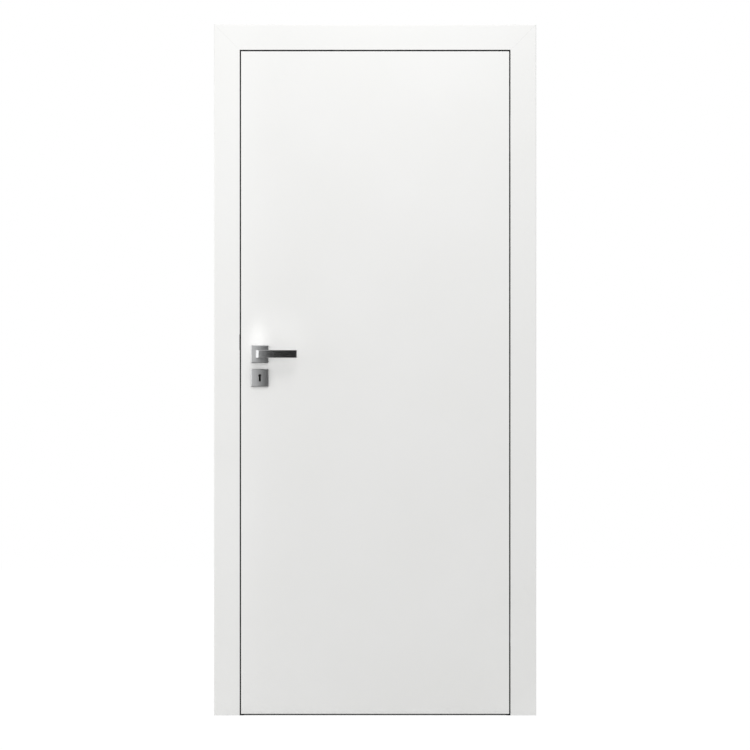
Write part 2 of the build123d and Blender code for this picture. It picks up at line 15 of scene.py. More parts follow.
import bmesh
import bpy
import numpy as np
from bpy.types import Material, Node, NodeSocket, NodeTree, Object, bpy_prop_collection
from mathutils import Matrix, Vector

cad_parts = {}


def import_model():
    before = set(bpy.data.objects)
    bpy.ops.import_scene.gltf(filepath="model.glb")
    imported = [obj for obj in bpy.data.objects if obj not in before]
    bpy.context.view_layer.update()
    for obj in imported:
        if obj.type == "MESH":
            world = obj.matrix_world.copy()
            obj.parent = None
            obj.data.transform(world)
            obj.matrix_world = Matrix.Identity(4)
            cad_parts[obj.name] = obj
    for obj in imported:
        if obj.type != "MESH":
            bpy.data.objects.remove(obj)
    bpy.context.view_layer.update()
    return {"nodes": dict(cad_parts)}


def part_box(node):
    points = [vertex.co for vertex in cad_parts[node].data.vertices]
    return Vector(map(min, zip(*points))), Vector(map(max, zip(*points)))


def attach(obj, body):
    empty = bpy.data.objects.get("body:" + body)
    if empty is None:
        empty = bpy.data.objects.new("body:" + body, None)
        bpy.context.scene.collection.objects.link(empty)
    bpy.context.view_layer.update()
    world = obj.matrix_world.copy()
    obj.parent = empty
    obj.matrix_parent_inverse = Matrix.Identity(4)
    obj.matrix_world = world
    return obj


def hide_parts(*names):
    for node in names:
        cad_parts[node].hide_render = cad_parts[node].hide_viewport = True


MM = 0.001
NOISE_LOW, NOISE_HIGH = 0.3, 0.7  # most of a noise pattern lies between these
MATH, MIX, NOISE = "ShaderNodeMath", "ShaderNodeMix", "ShaderNodeTexNoise"
RGBA = {"data_type": "RGBA"}
LOG = logging.getLogger("door")


class Side(Enum):
    """The two faces of the leaf, with the sign of the way each looks along Y."""

    FRONT = -1
    BACK = 1


class Body(Enum):
    """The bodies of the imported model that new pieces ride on."""

    FRAME = "frame"
    LEAF = "leaf"
    HANDLE = "handle"


class Slot(Enum):
    """The material slots of the record that new pieces take."""

    NICKEL = "satin_nickel"
    STEEL = "zinc_steel"
    RUBBER = "rubber_seal"
    PLASTIC = "strike_plastic"


class Grain(Enum):
    """Which way a brushed finish runs: how much the pattern is squeezed along each axis."""

    UPRIGHT = (1.0, 1.0, 0.015)
    ALONG_BAR = (0.015, 1.0, 1.0)


def linear(hex_colour: str) -> tuple[float, float, float, float]:
    """The linear red, green, blue and alpha of an sRGB hex colour, such as f1f1ef."""
    srgb = [int(hex_colour[i : i + 2], 16) / 255 for i in (0, 2, 4)]
    return (*[c / 12.92 if c <= 0.04045 else ((c + 0.055) / 1.055) ** 2.4 for c in srgb], 1.0)


def per_metre(spacing_mm: float) -> float:
    """The texture scale whose pattern repeats about every spacing_mm millimetres."""
    return 1000.0 / spacing_mm


def add_node(
    tree: NodeTree,
    kind: str,
    settings: dict[str, object] | None = None,
    inputs: dict[int | str, object] | None = None,
) -> Node:
    """Adds one shader node with its settings and its inputs.

    Args:
        tree: The node tree that it goes into.
        kind: The node's type, such as "ShaderNodeBump".
        settings: Properties of the node itself.
        inputs: For each input, by name or number, its value, or the output that feeds it. A node
            stands for its first output.

    Returns:
        The node.
    """
    node = tree.nodes.new(kind)
    for key, value in (settings or {}).items():
        setattr(node, key, value)
    for key, value in (inputs or {}).items():
        if isinstance(value, Node):
            value = value.outputs[0]
        if isinstance(value, NodeSocket):
            tree.links.new(value, node.inputs[key])
        else:
            node.inputs[key].default_value = value
    return node


def new_material(name: str) -> tuple[Material, NodeTree]:
    """An empty node material and its tree."""
    material = bpy.data.materials.new(name)
    material.use_nodes = True
    material.node_tree.nodes.clear()
    return material, material.node_tree


def new_finish(name: str) -> tuple[Material, NodeTree, NodeSocket]:
    """An empty material, its tree and the Object coordinates in it."""
    material, tree = new_material(name)
    return material, tree, add_node(tree, "ShaderNodeTexCoord").outputs["Object"]


def finish_tree(tree: NodeTree, shader: Node) -> None:
    """Joins the last shader to the material's output."""
    add_node(tree, "ShaderNodeOutputMaterial", inputs={"Surface": shader})


def dress(piece: Object, material: Material) -> None:
    """Puts a material into a piece's slots, or gives it its first one."""
    for place in piece.material_slots:
        place.material = material
    if not piece.material_slots:
        piece.data.materials.append(material)


# Finishes


def mottled(
    tree: NodeTree,
    place: Node | NodeSocket,
    spacing_mm: float,
    colours: tuple[str, str],
    layers: tuple[float, float] = (3.0, 0.5),
) -> tuple[Node, NodeSocket]:
    """Starts a finish with soft noise and a colour that follows it.

    Args:
        tree: The material's tree.
        place: The coordinates that the noise reads.
        spacing_mm: How far its spots are apart, in millimetres.
        colours: The hex colours where the noise is low and where it is high.
        layers: How many finer layers it has, and each one's strength next to the one before.

    Returns:
        The noise and the colour.
    """
    noise = add_node(tree, NOISE, inputs={"Vector": place, "Scale": per_metre(spacing_mm)})
    noise.inputs["Detail"].default_value, noise.inputs["Roughness"].default_value = layers
    low, high = (linear(colour) for colour in colours)
    return noise, add_node(tree, MIX, RGBA, {0: noise, 6: low, 7: high}).outputs[2]


def coat(tree: NodeTree, height: Node, relief: tuple[float, float], inputs: dict[str, object]) -> None:
    """Ends a finish with its shader over a fine bump, joined to the material's output.

    Args:
        tree: The material's tree.
        height: The pattern that the bump follows.
        relief: The bump's strength, and its depth in millimetres.
        inputs: The shader's other inputs.
    """
    strength, depth_mm = relief
    push = {"Strength": strength, "Distance": depth_mm * MM, "Height": height}
    bump = add_node(tree, "ShaderNodeBump", inputs=push)
    finish_tree(tree, add_node(tree, "ShaderNodeBsdfPrincipled", inputs={**inputs, "Normal": bump}))


@dataclass(frozen=True)
class Mitre:
    """The hairline where two casings meet at 45 degrees, from x, z up and out to lean's side."""

    x: float
    z: float
    lean: float
    half_width: float = 0.2 * MM
    colour: str = "c9c9c7"

    def draw(self, tree: NodeTree, axes: bpy_prop_collection, colour: NodeSocket) -> NodeSocket:
        """Darkens the paint where |(z - z0) - lean (x - x0)| is under half the line's width.

        Args:
            tree: The material's tree.
            axes: The separate Object coordinates.
            colour: The paint's colour so far.

        Returns:
            The colour with the hairline in it.
        """
        slant = {0: axes[0], 1: -self.lean, 2: self.lean * self.x - self.z}
        across = add_node(tree, MATH, {"operation": "MULTIPLY_ADD"}, slant)
        off = add_node(tree, MATH, {"operation": "ADD"}, {0: across, 1: axes[2]})
        near = add_node(tree, MATH, {"operation": "COMPARE"}, {0: off, 1: 0.0, 2: self.half_width})
        above = add_node(tree, MATH, {"operation": "GREATER_THAN"}, {0: axes[2], 1: self.z})
        mask = add_node(tree, MATH, {"operation": "MULTIPLY"}, {0: near, 1: above})
        return add_node(tree, MIX, RGBA, {0: mask, 6: colour, 7: linear(self.colour)}).outputs[2]


@dataclass(frozen=True)
class GapShade:
    """Painted shade: the dark line where a sprayed face turns over its arris into the gap round the
    leaf, painted into the lacquer's colour.

    The real shade is about 0.3 mm wide, and is painted wider so that it shows. On the casing it
    stops at the hinges, whose bright flanges are let into the edge there.
    """

    low_x: float
    high_x: float
    high_z: float
    front_y: float
    hinges: tuple[tuple[float, float], ...] = ()
    half_width: float = 0.6 * MM
    # The painted shade's colour.
    colour: str = "1b1b1b"

    def draw(self, tree: NodeTree, axes: bpy_prop_collection, colour: NodeSocket) -> NodeSocket:
        """Paints the gap's shade into the colour where |max(x1 - x, x - x2, z - z2)| is under the line's
        width.

        Args:
            tree: The material's tree.
            axes: The separate Object coordinates.
            colour: The paint's colour so far.

        Returns:
            The colour with the painted shade in it.
        """
        past = add_node(tree, MATH, {"operation": "SUBTRACT"}, {0: self.low_x, 1: axes[0]})
        for axis, edge in ((0, self.high_x), (2, self.high_z)):
            side = add_node(tree, MATH, {"operation": "SUBTRACT"}, {0: axes[axis], 1: edge})
            past = add_node(tree, MATH, {"operation": "MAXIMUM"}, {0: past, 1: side})
        mask = add_node(tree, MATH, {"operation": "COMPARE"}, {0: past, 1: 0.0, 2: self.half_width})
        middle = (self.low_x + self.high_x) / 2
        on_left = add_node(tree, MATH, {"operation": "LESS_THAN"}, {0: axes[0], 1: middle})
        clear = [add_node(tree, MATH, {"operation": "LESS_THAN"}, {0: axes[1], 1: self.front_y})]
        for low, high in self.hinges:
            span = {0: axes[2], 1: (low + high) / 2, 2: (high - low) / 2}
            beside = add_node(tree, MATH, {"operation": "COMPARE"}, span)
            off = add_node(tree, MATH, {"operation": "SUBTRACT"}, {0: 1.0, 1: beside})
            clear.append(add_node(tree, MATH, {"operation": "MAXIMUM"}, {0: off, 1: on_left}))
        for part in clear:
            mask = add_node(tree, MATH, {"operation": "MULTIPLY"}, {0: mask, 1: part})
        # Mixes the painted shade of the gap into the lacquer's colour.
        return add_node(tree, MIX, RGBA, {0: mask, 6: colour, 7: linear(self.colour)}).outputs[2]


@dataclass(frozen=True)
class SatinLacquer:
    """Sprayed satin lacquer on smooth board: a soft even sheen with a fine orange peel.

    The sides that face the wall have only the primer, which is duller and a little warmer.
    """

    colour: str = "f3f3f2"
    shade: str = "efefed"
    primer: str = "dedbd4"
    sheen: float = 0.36
    sheen_spread: float = 0.03
    primer_roughness: float = 0.72
    cloud_mm: float = 260.0
    peel_mm: float = 2.2
    peel_relief: tuple[float, float] = (0.12, 0.05)

    def make(
        self,
        name: str,
        wall_sides: tuple[tuple[int, float, float], ...] = (),
        lines: tuple[Mitre | GapShade, ...] = (),
    ) -> Material:
        """Builds the lacquer for one kind of board.

        Args:
            name: The material's name.
            wall_sides: Where the primer shows, as axis number, sign and place in metres: the
                primer is on the side where sign times the coordinate is over sign times place.
            lines: The mitres' hairlines and the painted shade beside the gap.

        Returns:
            The material.
        """
        material, tree, place = new_finish(name)
        clouds, colour = mottled(tree, place, self.cloud_mm, (self.shade, self.colour))
        low, high = self.sheen - self.sheen_spread, self.sheen + self.sheen_spread
        rough = add_node(tree, "ShaderNodeMapRange", inputs={0: clouds, 3: low, 4: high})
        axes = add_node(tree, "ShaderNodeSeparateXYZ", inputs={0: place}).outputs
        for axis, sign, value in wall_sides:
            signed = add_node(tree, MATH, {"operation": "MULTIPLY"}, {0: axes[axis], 1: float(sign)})
            mask = add_node(tree, MATH, {"operation": "GREATER_THAN"}, {0: signed, 1: sign * value})
            colour = add_node(tree, MIX, RGBA, {0: mask, 6: colour, 7: linear(self.primer)}).outputs[2]
            rough = add_node(
                tree, MIX, {"data_type": "FLOAT"}, {0: mask, 2: rough, 3: self.primer_roughness}
            )
        for line in lines:
            colour = line.draw(tree, axes, colour)
        fine = {"Vector": place, "Scale": per_metre(self.peel_mm), "Detail": 1.0}
        peel = add_node(tree, NOISE, inputs=fine)
        coat(tree, peel, self.peel_relief, {"Base Color": colour, "Roughness": rough, "IOR": 1.5})
        return material


@dataclass(frozen=True)
class BrushedNickel:
    """Nickel plate, brushed by a fine belt: grey metal whose streaks blur what it reflects."""

    colour: str = "d6d7d7"
    dark: str = "b0b1b2"
    roughness: float = 0.30
    spread: tuple[float, float] = (-0.06, 0.08)
    streak_mm: float = 0.9
    streak_relief: tuple[float, float] = (0.25, 0.02)

    def make(self, name: str, grain: Grain) -> Material:
        """Builds the nickel with its streaks along one way.

        The real streaks are about 0.1 mm apart, and are drawn coarser so that they show.

        Args:
            name: The material's name.
            grain: Which way the brushing runs.

        Returns:
            The material.
        """
        material, tree, place = new_finish(name)
        squeezed = add_node(tree, "ShaderNodeMapping", inputs={"Vector": place, "Scale": grain.value})
        streaks, colour = mottled(tree, squeezed, self.streak_mm, (self.dark, self.colour), (5.0, 0.65))
        smooth, coarse = (self.roughness + change for change in self.spread)
        inputs = {0: streaks, 1: NOISE_LOW, 2: NOISE_HIGH, 3: smooth, 4: coarse}
        rough = add_node(tree, "ShaderNodeMapRange", inputs=inputs)
        plate = {"Base Color": colour, "Metallic": 1.0, "Roughness": rough}
        coat(tree, streaks, self.streak_relief, plate)
        return material


@dataclass(frozen=True)
class ZincPlate:
    """Bright zinc on pressed or cast steel: cool grey, a little cloudy, not polished."""

    colour: str = "b4b7ba"
    dark: str = "8f9397"
    roughness: float = 0.4
    spread: tuple[float, float] = (-0.08, 0.1)
    cloud_mm: float = 9.0
    grit_mm: float = 0.7
    grit_relief: tuple[float, float] = (0.2, 0.03)

    def make(self, name: str) -> Material:
        """Builds the zinc plate.

        Args:
            name: The material's name.

        Returns:
            The material.
        """
        material, tree, place = new_finish(name)
        clouds, colour = mottled(tree, place, self.cloud_mm, (self.dark, self.colour), (4.0, 0.5))
        smooth, coarse = (self.roughness + change for change in self.spread)
        inputs = {0: clouds, 1: NOISE_LOW, 2: NOISE_HIGH, 3: smooth, 4: coarse}
        rough = add_node(tree, "ShaderNodeMapRange", inputs=inputs)
        fine = {"Vector": place, "Scale": per_metre(self.grit_mm), "Detail": 2.0}
        grit = add_node(tree, NOISE, inputs=fine)
        coat(tree, grit, self.grit_relief, {"Base Color": colour, "Metallic": 1.0, "Roughness": rough})
        return material


@dataclass(frozen=True)
class Moulded:
    """Moulded rubber or nylon: one dull colour with a fine matt grain from the mould."""

    colour: str
    worn: str
    roughness: float
    patch_mm: float = 40.0
    grain_mm: float = 0.6
    grain_relief: tuple[float, float] = (0.3, 0.04)

    def make(self, name: str) -> Material:
        """Builds the moulded finish.

        Args:
            name: The material's name.

        Returns:
            The material.
        """
        material, tree, place = new_finish(name)
        colour = mottled(tree, place, self.patch_mm, (self.colour, self.worn))[1]
        fine = {"Vector": place, "Scale": per_metre(self.grain_mm), "Detail": 3.0}
        grain = add_node(tree, NOISE, inputs=fine)
        matt = {"Base Color": colour, "Roughness": self.roughness, "IOR": 1.5}
        coat(tree, grain, self.grain_relief, matt)
        return material


@dataclass(frozen=True)
class ChipBoard:
    """Raw pressed chipboard: small pale and brown flakes, quite matt."""

    pale: str = "c9a878"
    brown: str = "8e6a40"
    roughness: float = 0.85
    flake_mm: float = 4.0

    def make(self, name: str) -> Material:
        """Builds the raw board.

        Args:
            name: The material's name.

        Returns:
            The material.
        """
        material, tree, place = new_finish(name)
        spots = {"Vector": place, "Scale": per_metre(self.flake_mm)}
        flakes = add_node(tree, "ShaderNodeTexVoronoi", inputs=spots).outputs["Color"]
        tone = add_node(tree, "ShaderNodeSeparateColor", inputs={0: flakes})
        ends = {0: tone, 6: linear(self.brown), 7: linear(self.pale)}
        colour = add_node(tree, MIX, RGBA, ends).outputs[2]
        inputs = {"Base Color": colour, "Roughness": self.roughness}
        finish_tree(tree, add_node(tree, "ShaderNodeBsdfPrincipled", inputs=inputs))
        return material


# Meshes from arrays


def grid_faces(rows: int, columns: int, wrap_rows: bool) -> np.ndarray:
    """Joins a grid of points into quads. The columns always wrap round.

    Args:
        rows: How many rings of points there are.
        columns: How many points each ring has.
        wrap_rows: Whether the last ring is joined to the first one.

    Returns:
        One row of four point numbers for each quad.
    """
    first = np.arange(rows if wrap_rows else rows - 1)[:, None]
    point = np.arange(columns)[None, :]
    after, beside = (first + 1) % rows, (point + 1) % columns
    corners = (
        first * columns + point,
        first * columns + beside,
        after * columns + beside,
        after * columns + point,
    )
    return np.stack(np.broadcast_arrays(*corners), axis=-1).reshape(-1, 4)


def shell(name: str, parts: list[tuple[np.ndarray, bool]], crease: float = 30.0) -> Object:
    """One mesh of closed shells, each given by rings of points.

    Args:
        name: The piece's name.
        parts: For each shell, its points in metres as rings x points x 3, and whether the last
            ring joins the first, as in a plate with a hole. If not, a flat face closes each end.
        crease: Edges that turn by more than this many degrees stay sharp.

    Returns:
        The object, at the origin, with its place in its mesh and its normals outwards.
    """
    points, faces, start = [], [], 0
    for rings, closed in parts:
        rows, columns = rings.shape[:2]
        faces += (grid_faces(rows, columns, closed) + start).tolist()
        if not closed:
            last = start + (rows - 1) * columns
            faces += [list(range(start, start + columns)), list(range(last, last + columns))]
        points.append(rings.reshape(-1, 3))
        start += rows * columns
    mesh = bpy.data.meshes.new(name)
    mesh.from_pydata(np.concatenate(points).tolist(), [], faces)
    work = bmesh.new()
    work.from_mesh(mesh)
    bmesh.ops.recalc_face_normals(work, faces=work.faces)
    work.to_mesh(mesh)
    work.free()
    mesh.shade_smooth()
    mesh.set_sharp_from_angle(angle=math.radians(crease))
    piece = bpy.data.objects.new(name, mesh)
    bpy.context.scene.collection.objects.link(piece)
    return piece


def bevelled(piece: Object, width_mm: float) -> Object:
    """Breaks a piece's sharp edges with a small round."""
    bevel = piece.modifiers.new("broken edges", "BEVEL")
    bevel.width = width_mm * MM
    bevel.segments = 2
    bevel.limit_method = "ANGLE"
    bevel.angle_limit = math.radians(25)
    return piece


def corner_angles(count: int) -> np.ndarray:
    """Angles round a square, close together at its corners: a = t + 0.2 sin(4t)."""
    even = np.linspace(0, 2 * np.pi, count, endpoint=False)
    return even + 0.2 * np.sin(4 * even)


def rounded_square(angles: np.ndarray, half: float, radius: float) -> np.ndarray:
    """How far a square with round corners reaches from its middle at each angle.

    On a side the reach is half / max(|cos|, |sin|). In a corner it is where the ray meets the
    corner's circle: b + sqrt(b^2 - 2 k^2 + r^2), with k = half - r and b = k (|cos| + |sin|).

    Args:
        angles: The angles.
        half: Half the square's side.
        radius: The corners' radius.

    Returns:
        The reach at each angle.
    """
    cosine, sine = np.abs(np.cos(angles)), np.abs(np.sin(angles))
    reach = half / np.maximum(cosine, sine)
    inner = half - radius
    along = inner * (cosine + sine)
    corner = along + np.sqrt(np.maximum(along**2 - 2 * inner**2 + radius**2, 0))
    in_corner = (reach * cosine > inner) & (reach * sine > inner)
    return np.where(in_corner, corner, reach)


def keyhole_reach(angles: np.ndarray, eye: float, foot: float, slot: float, height: float) -> np.ndarray:
    """How far a keyhole reaches from its middle at each angle.

    It is the farthest of three: the slot's side, slot / 2 / |cos|, between the two rounds'
    middles; the round eye, seen from outside it; and the round foot.

    Args:
        angles: The angles.
        eye: The eye's radius.
        foot: The foot's radius.
        slot: The slot's width.
        height: The keyhole's whole height.

    Returns:
        The reach at each angle.
    """
    cosine, sine = np.cos(angles), np.sin(angles)
    reaches = []
    for middle, radius in ((height / 2 - eye, eye), (foot - height / 2, foot)):
        along = middle * sine
        inside = along**2 - middle**2 + radius**2
        reaches.append(np.where(inside > 0, along + np.sqrt(np.maximum(inside, 0)), 0))
    side = slot / 2 / np.maximum(np.abs(cosine), 1e-6)
    on_side = side * sine > foot - height / 2
    reaches.append(np.where(on_side & (side * sine < height / 2 - eye), side, 0))
    return np.max(reaches, axis=0)


def carried_up(levels: list[tuple[float, np.ndarray]]) -> np.ndarray:
    """Rings x points x 3 from plan outlines: each one's x, y with its own height as z."""
    return np.stack([np.insert(plan, 2, height, axis=1) for height, plan in levels])


def ring(angles: np.ndarray, reach: np.ndarray | float, depth: np.ndarray | float) -> np.ndarray:
    """A ring of points x, y, z in millimetres: reach cos, depth, reach sin."""
    across, up = reach * np.cos(angles), reach * np.sin(angles)
    return np.stack([across, np.broadcast_to(depth, across.shape), up], axis=-1)


@dataclass(frozen=True)
class Datum:
    """A place on the leaf or the frame that pieces are drawn from: a point and three ways."""

    origin: Vector
    across: tuple[float, float, float] = (1.0, 0.0, 0.0)
    outward: tuple[float, float, float] = (0.0, -1.0, 0.0)
    up: tuple[float, float, float] = (0.0, 0.0, 1.0)

    def place(self, points: np.ndarray) -> np.ndarray:
        """Moves points from millimetres at this datum to metres on the door.

        The point x, y, z becomes origin + x across - y outward + z up, so that a negative y
        stands out of the surface, as on the front of the door.
        """
        ways = np.array([self.across, [-v for v in self.outward], self.up])
        return np.array(self.origin) + points * MM @ ways


# The studio


@dataclass(frozen=True)
class Lamp:
    """One round soft lamp, or with a beam in degrees a small lamp that lights one patch.

    A small lamp doesn't show in the metal.
    """

    name: str
    place: tuple[float, float, float]
    aim: tuple[float, float, float]
    size: float
    power: float
    beam: float = 0.0

    def hang(self) -> None:
        """Puts the lamp in its place, turned towards its aim."""
        data = bpy.data.lights.new(self.name, "SPOT" if self.beam else "AREA")
        if self.beam:
            data.spot_size = math.radians(self.beam)
            data.spot_blend = 1.0
            data.shadow_soft_size = self.size
        else:
            data.shape = "DISK"
            data.size = self.size
        data.energy = self.power
        lamp = bpy.data.objects.new(self.name, data)
        lamp.location = self.place
        lamp.visible_glossy = not self.beam
        way = Vector(self.aim) - lamp.location
        lamp.rotation_euler = way.to_track_quat("-Z", "Y").to_euler()
        bpy.context.scene.collection.objects.link(lamp)


@dataclass
class Studio:
    """A white room with a straight far camera, soft lamps and a dark screen for the metal.

    The handle lamp and the lever lamp stand for the light that the bright metal throws on the
    leaf round it.
    """

    middle_x: float = -0.45646
    middle_z: float = 1.03701
    front_y: float = -0.070
    camera_distance: float = 80.0
    frame_width: float = 2.2845
    sensor: float = 36.0
    room_light: float = 0.89
    floor_half: float = 60.0
    floor_colour: str = "e0e0e0"
    floor_glow: float = 0.9
    floor_white: float = 1.06
    shade_reach: float = 0.05
    shade_range: tuple[float, float] = (0.1, 0.6)
    screen_colour: str = "262626"
    screen_x: tuple[float, float] = (-0.815, 1.1)
    screen_y: float = -0.30
    screen_z: tuple[float, float] = (0.02, 2.2)
    flap_x: tuple[float, float] = (-1.1, -0.45)
    flap_y: float = -0.075
    flap_z: float = 0.80
    lamps: tuple[Lamp, ...] = (
        Lamp("upper lamp", (-0.38, -1.55, 2.72), (-0.42, -0.07, 1.5), 1.0, 9.3),
        Lamp("left lamp", (-2.3, -0.52, 1.35), (-0.80, -0.12, 1.15), 1.2, 4.4),
        Lamp("handle lamp", (-0.812, -0.55, 1.97), (-0.812, -0.07, 1.130), 0.02, 16.0, 4.4),
        Lamp("lever lamp", (-0.764, -0.90, 1.33), (-0.764, -0.07, 1.121), 0.10, 7.5, 9.6),
    )

    def build(self) -> None:
        """Makes the camera, the lamps, the room, the floor and the screen."""
        self.make_camera()
        for lamp in self.lamps:
            lamp.hang()
        self.make_room()
        self.make_floor()
        self.make_screen()

    def make_camera(self) -> None:
        """Sets the camera square to the door, with the photograph's frame."""
        data = bpy.data.cameras.new("camera")
        data.sensor_width = self.sensor
        data.lens = self.sensor * self.camera_distance / self.frame_width
        data.clip_end = 3 * self.camera_distance
        camera = bpy.data.objects.new("camera", data)
        camera.location = (self.middle_x, self.front_y - self.camera_distance, self.middle_z)
        camera.rotation_euler = (math.radians(90), 0, 0)
        bpy.context.scene.collection.objects.link(camera)
        bpy.context.scene.camera = camera

    @staticmethod
    def seen_directly(tree: NodeTree) -> Node:
        """1 for what the camera sees directly, in metal or through glass, and 0 for soft light."""
        rays = add_node(tree, "ShaderNodeLightPath").outputs
        seen = rays["Is Camera Ray"]
        for kind in ("Is Glossy Ray", "Is Transmission Ray"):
            seen = add_node(tree, MATH, {"operation": "MAXIMUM"}, {0: seen, 1: rays[kind]})
        return seen

    def make_room(self) -> None:
        """Lights the door evenly from all round, in front of plain white."""
        world = bpy.data.worlds.new("white room")
        world.use_nodes = True
        tree = world.node_tree
        tree.nodes.clear()
        seen = {0: self.seen_directly(tree), 3: self.room_light, 4: 1.0}
        strength = add_node(tree, "ShaderNodeMapRange", inputs=seen)
        white = {"Color": (1.0, 1.0, 1.0, 1.0), "Strength": strength}
        light = add_node(tree, "ShaderNodeBackground", inputs=white)
        add_node(tree, "ShaderNodeOutputWorld", inputs={"Surface": light})
        bpy.context.scene.world = world

    def make_floor(self) -> None:
        """Lays a white floor that keeps the door's soft shadow.

        Close under the door, where the floor sees little of the room, its own white fades, so
        that the gap below the leaf stays dark.
        """
        material, tree = new_material("white floor")
        reach, (dark, light) = {"Distance": self.shade_reach}, self.shade_range
        open_sky = add_node(tree, "ShaderNodeAmbientOcclusion", {"samples": 16}, reach).outputs["AO"]
        clear = add_node(tree, "ShaderNodeMapRange", inputs={0: open_sky, 1: dark, 2: light})
        share = add_node(tree, MATH, {"operation": "MULTIPLY"}, {0: clear, 1: self.floor_glow})
        seen = {0: self.seen_directly(tree), 1: share}
        share = add_node(tree, MATH, {"operation": "MULTIPLY"}, seen)
        matt = add_node(tree, "ShaderNodeBsdfDiffuse", inputs={"Color": linear(self.floor_colour)})
        white = {"Color": (1.0, 1.0, 1.0, 1.0), "Strength": self.floor_white}
        glow = add_node(tree, "ShaderNodeEmission", inputs=white)
        finish_tree(tree, add_node(tree, "ShaderNodeMixShader", inputs={0: share, 1: matt, 2: glow}))
        half = self.floor_half
        corners = [(-half, -half, 0), (half, -half, 0), (half, half, 0), (-half, half, 0)]
        self.stand("floor", corners, [(0, 1, 2, 3)], material)

    def make_screen(self) -> None:
        """Stands a dark screen in front of the handle, which only the metal reflects.

        Its upright sheet begins over the handle and runs to the right, past the open leaf, and
        a flap below it keeps the lower bevels dark.
        """
        material, tree = new_material("dark screen")
        cloth = {"Color": linear(self.screen_colour)}
        finish_tree(tree, add_node(tree, "ShaderNodeBsdfDiffuse", inputs=cloth))
        (left, right), near, (low, high) = self.screen_x, self.screen_y, self.screen_z
        (flap_left, flap_right), inner, flap = self.flap_x, self.flap_y, self.flap_z
        corners = [
            (left, near, low),
            (right, near, low),
            (right, near, high),
            (left, near, high),
            (flap_left, near, flap),
            (flap_left, inner, flap),
            (flap_right, inner, flap),
            (flap_right, near, flap),
        ]
        screen = self.stand("screen", corners, [(0, 1, 2, 3), (4, 5, 6, 7)], material)
        screen.visible_camera = False
        screen.visible_diffuse = False
        screen.visible_shadow = False

    @staticmethod
    def stand(
        name: str,
        corners: list[tuple[float, float, float]],
        faces: list[tuple[int, ...]],
        material: Material,
    ) -> Object:
        """A flat thing of the studio, which isn't part of the door.

        Args:
            name: Its name.
            corners: Its corners in metres.
            faces: The corners of each face.
            material: Its finish.

        Returns:
            The object.
        """
        mesh = bpy.data.meshes.new(name)
        mesh.from_pydata(corners, [], faces)
        thing = bpy.data.objects.new(name, mesh)
        bpy.context.scene.collection.objects.link(thing)
        dress(thing, material)
        return thing


# Sub-assemblies


@dataclass
class Woodwork:
    """The leaf, the lining and the casings, all sprayed white."""

    paint: SatinLacquer = SatinLacquer()
    core: ChipBoard = ChipBoard()
    casing_boards: tuple[str, ...] = ("casing_hinge_side", "casing_lock_side", "casing_head")
    leaf_boards: tuple[str, ...] = (
        "front_skin",
        "back_skin",
        "hinge_stile",
        "lower_lock_stile",
        "upper_lock_stile",
        "lock_block",
        "top_rail",
        "bottom_rail",
    )
    wall_face: float = 60.1
    primer_depth: float = 0.4
    # Where the painted shade of the gap lies on the front faces.
    shade_depth: float = 0.4
    shade_left: float = 0.35
    shade_above: float = 0.55

    def dress(self, nodes: dict[str, Object]) -> None:
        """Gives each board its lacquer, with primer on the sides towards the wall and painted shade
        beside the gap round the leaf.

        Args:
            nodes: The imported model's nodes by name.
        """
        coats = {"leaf_core": self.core.make("raw_chipboard")}
        # The painted shade of the gap goes on the front casings and on the leaf.
        opening_shade, leaf_shade = self.gap_shades()
        for word, sign, gap_shades in (("front", 1, (opening_shade,)), ("back", -1, ())):
            names = [f"{word}_{board}" for board in self.casing_boards]
            wall_side = (1, sign, -sign * self.wall_face * MM)
            lines = self.mitres(names) + gap_shades
            material = self.paint.make(f"satin_lacquer_{word}_casing", (wall_side,), lines)
            coats.update(dict.fromkeys(names, material))
        primer = self.primer_depth * MM
        sides = {
            "hinge_jamb": (0, 1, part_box("hinge_jamb")[1].x - primer),
            "lock_jamb": (0, -1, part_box("lock_jamb")[0].x + primer),
            "head_jamb": (2, 1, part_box("head_jamb")[1].z - primer),
        }
        for name, side in sides.items():
            coats[name] = self.paint.make(f"satin_lacquer_{name}", (side,))
        leaf = self.paint.make("satin_lacquer_leaf", lines=(leaf_shade,))
        coats.update(dict.fromkeys(self.leaf_boards, leaf))
        for name, material in coats.items():
            dress(nodes[name], material)
            LOG.info("finished %s", name)

    def gap_shades(self) -> tuple[GapShade, GapShade]:
        """The painted shade lines on the casings and on the leaf, one on each side of the gap.

        On the hinge side both lie a little to the left of the gap, and at the top a little
        above it, as the photograph shows them.
        """
        left_of, above = self.shade_left * MM, self.shade_above * MM
        right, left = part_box("front_casing_hinge_side"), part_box("front_casing_lock_side")
        head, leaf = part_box("front_casing_head"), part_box("front_skin")
        cups = (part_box("lower_frame_cup"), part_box("upper_frame_cup"))
        hinges = tuple((cup[0].z, cup[1].z) for cup in cups)
        front = leaf[0].y + self.shade_depth * MM
        return (
            GapShade(left[1].x, right[0].x - left_of, head[0].z + above, front, hinges),
            GapShade(leaf[0].x, leaf[1].x - left_of, leaf[1].z + above, front),
        )

    @staticmethod
    def mitres(names: list[str]) -> tuple[Mitre, ...]:
        """The two mitres of a set of casings, from the boxes of its two side boards."""
        right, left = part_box(names[0]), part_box(names[1])
        height = right[1].z - (right[1].x - right[0].x)
        return Mitre(left[1].x, height, -1.0), Mitre(right[0].x, height, 1.0)


